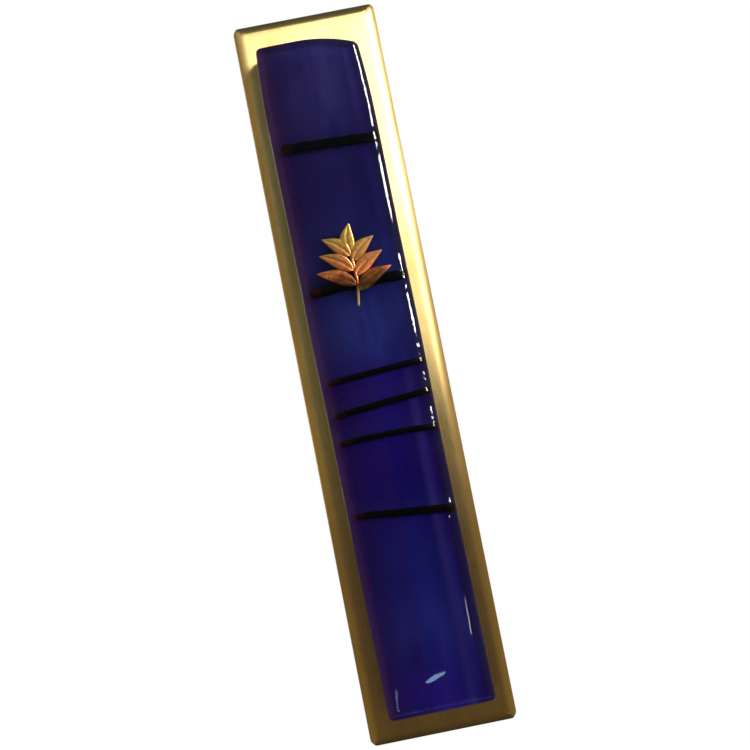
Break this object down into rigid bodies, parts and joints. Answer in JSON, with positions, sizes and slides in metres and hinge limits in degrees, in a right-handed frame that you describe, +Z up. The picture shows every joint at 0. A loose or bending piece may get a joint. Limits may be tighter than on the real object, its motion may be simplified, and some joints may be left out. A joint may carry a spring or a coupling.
{
  "type": "mezuzah case",
  "caption": "Slim folded brass case with a fused cobalt glass bar bonded to its face, hung on a screwed back plate, with a rolled parchment clipped inside.",
  "frame": {"origin": "on the wall, at the middle of the back plate's rear face", "axes": "+Z up the doorpost along the case, +Y into the wall, the glass face looks towards -Y"},
  "size_m": [0.027, 0.0302, 0.135],
  "materials": {
    "satin_brass": "brushed satin, warm, darker along the folded edges",
    "plate_brass": "mill finish, slightly dull",
    "spring_brass": "bright rolled strip",
    "screw_brass": "turned, bright",
    "cobalt_glass": "deep cobalt, fire polished",
    "clear_glass": "clear with a violet tint, fire polished",
    "black_glass": "black, opaque, fused",
    "gold_lustre": "fired metallic lustre, khaki gold to copper",
    "silicone": "translucent, soft sheen",
    "parchment": "matt, slightly translucent, blank",
    "clear_film": "clear, glossy"
  },
  "bodies": {
    "wall_mount": {"back_plate": "plate_brass", "screw_upper": "screw_brass", "screw_lower": "screw_brass"},
    "case": {"case_shell": "satin_brass", "clip_upper": "spring_brass", "clip_lower": "spring_brass", "clip_rivet_upper": "spring_brass", "clip_rivet_lower": "spring_brass", "adhesive_bed": "silicone", "glass_base": "cobalt_glass", "glass_cap": "clear_glass", "stringer_1": "black_glass", "stringer_2": "black_glass", "stringer_3": "black_glass", "stringer_4": "black_glass", "stringer_5": "black_glass", "stringer_6": "black_glass", "emblem": "gold_lustre"},
    "scroll": {"parchment_scroll": "parchment", "scroll_sleeve": "clear_film"}
  },
  "joints": [
    {"name": "case_lift", "type": "slide", "parent": "wall_mount", "child": "case", "axis": [0, 0, 1], "range_m": [0, 0.134]},
    {"name": "scroll_slide", "type": "slide", "parent": "case", "child": "scroll", "axis": [0, 0, 1], "range_m": [-0.0145, 0.0145]}
  ]
}
